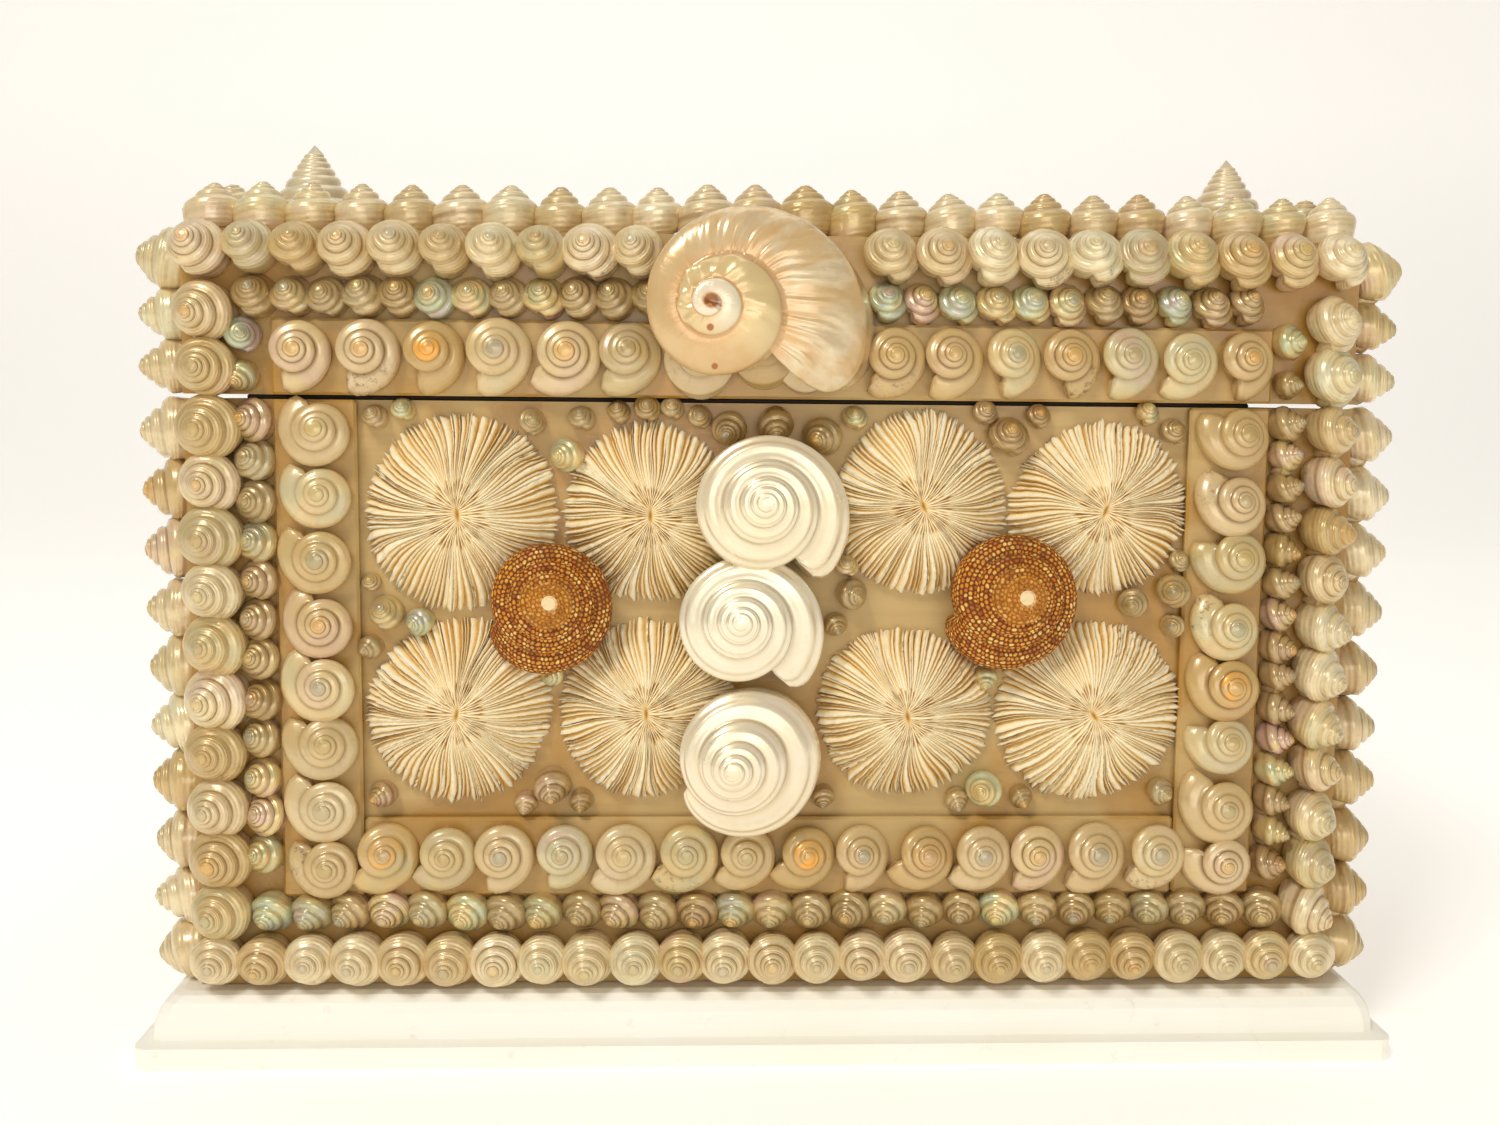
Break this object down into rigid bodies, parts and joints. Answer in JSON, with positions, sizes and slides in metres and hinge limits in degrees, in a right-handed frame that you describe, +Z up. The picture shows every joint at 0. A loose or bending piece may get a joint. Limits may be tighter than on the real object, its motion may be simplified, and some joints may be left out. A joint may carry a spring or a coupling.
{
  "type": "shell box",
  "caption": "Keepsake box with a lift-off lid, covered with sea shells and mushroom corals, on a moulded white plinth.",
  "frame": {"origin": "centre of the plinth's underside", "axes": "+Z up, the decorated front faces -Y, +X to the viewer's right as the front is seen"},
  "size_m": [0.339, 0.2461, 0.2462],
  "materials": {
    "white_paint": "satin warm white paint on wood",
    "ivory_paint": "ivory paint on wood, aged, with amber glue marks",
    "black_felt": "dark felt",
    "cream_shell": "natural cream shell with a nacre sheen",
    "nacre": "polished mother-of-pearl shell",
    "coral": "dry off-white coral",
    "pearl": "bright pearly shell",
    "speckled_orange": "orange-brown shell with rows of cream beads",
    "peach_turban": "pale peach shell with silvery wrinkles"
  },
  "bodies": {
    "root": {"back_rim_bottom": "cream_shell", "back_rim_left": "cream_shell", "back_rim_right": "cream_shell", "box_body": "ivory_paint", "box_lid": "ivory_paint", "coral_lid_1": "coral", "coral_lid_2": "coral", "coral_lid_3": "coral", "coral_lower_1": "coral", "coral_lower_2": "coral", "coral_lower_3": "coral", "coral_lower_4": "coral", "coral_upper_1": "coral", "coral_upper_2": "coral", "coral_upper_3": "coral", "coral_upper_4": "coral", "frame_bottom": "ivory_paint", "frame_left": "ivory_paint", "frame_lid": "ivory_paint", "frame_right": "ivory_paint", "frame_shells_bottom": "nacre", "frame_shells_left": "nacre", "frame_shells_right": "nacre", "front_rim_bottom": "cream_shell", "front_rim_left": "cream_shell", "front_rim_right": "cream_shell", "left_rim_bottom": "cream_shell", "left_rim_left": "cream_shell", "left_rim_right": "cream_shell", "lid_back_rim": "cream_shell", "lid_front_column_left": "cream_shell", "lid_front_column_right": "cream_shell", "lid_front_rim_left": "cream_shell", "lid_front_rim_right": "cream_shell", "lid_left_rim": "cream_shell", "lid_right_rim": "cream_shell", "lid_shells_left": "nacre", "lid_shells_right": "nacre", "pearl_shell_lower": "pearl", "pearl_shell_middle": "pearl", "pearl_shell_upper": "pearl", "plinth": "white_paint", "right_rim_bottom": "cream_shell", "right_rim_left": "cream_shell", "right_rim_right": "cream_shell", "rim_felt_back": "black_felt", "rim_felt_front": "black_felt", "speckled_shell_left": "speckled_orange", "speckled_shell_right": "speckled_orange", "spire_back_left": "pearl", "spire_back_right": "pearl", "spire_front_left": "pearl", "spire_front_right": "pearl", "top_rim_back": "cream_shell", "top_rim_front": "cream_shell", "top_rim_left": "cream_shell", "top_rim_right": "cream_shell", "turban_shell": "peach_turban"}
  },
  "joints": []
}
